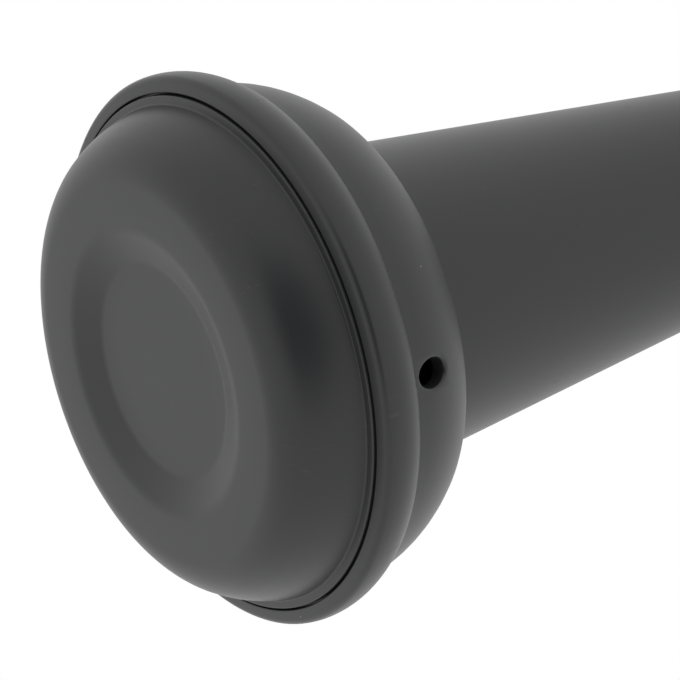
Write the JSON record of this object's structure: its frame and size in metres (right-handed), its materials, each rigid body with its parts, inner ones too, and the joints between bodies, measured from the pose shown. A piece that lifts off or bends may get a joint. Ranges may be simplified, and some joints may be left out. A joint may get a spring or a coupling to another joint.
{
  "type": "trumpet practice mute",
  "caption": "Black plastic practice mute: domed end with a shallow dish, rounded bead, vented collar and a long tapering tube with a foam seal and an air pipe inside.",
  "frame": {"origin": "the middle of the flat land of the domed wide end, on which the mute stands", "axes": "+Z along the mute's axis, from the wide end to the narrow end; +X through the first vent hole of the collar"},
  "size_m": [0.078, 0.078, 0.165],
  "materials": {
    "black_plastic": "satin moulded",
    "pale_plastic": "plain moulded",
    "grey_felt": "pressed felt",
    "black_foam": "closed-cell foam"
  },
  "bodies": {
    "root": {"end_cap": "black_plastic", "body_shell": "black_plastic", "throat_bush": "black_plastic", "baffle_disc": "pale_plastic", "inner_tube": "pale_plastic", "damping_felt": "grey_felt", "seal_sleeve": "black_foam"}
  },
  "joints": []
}
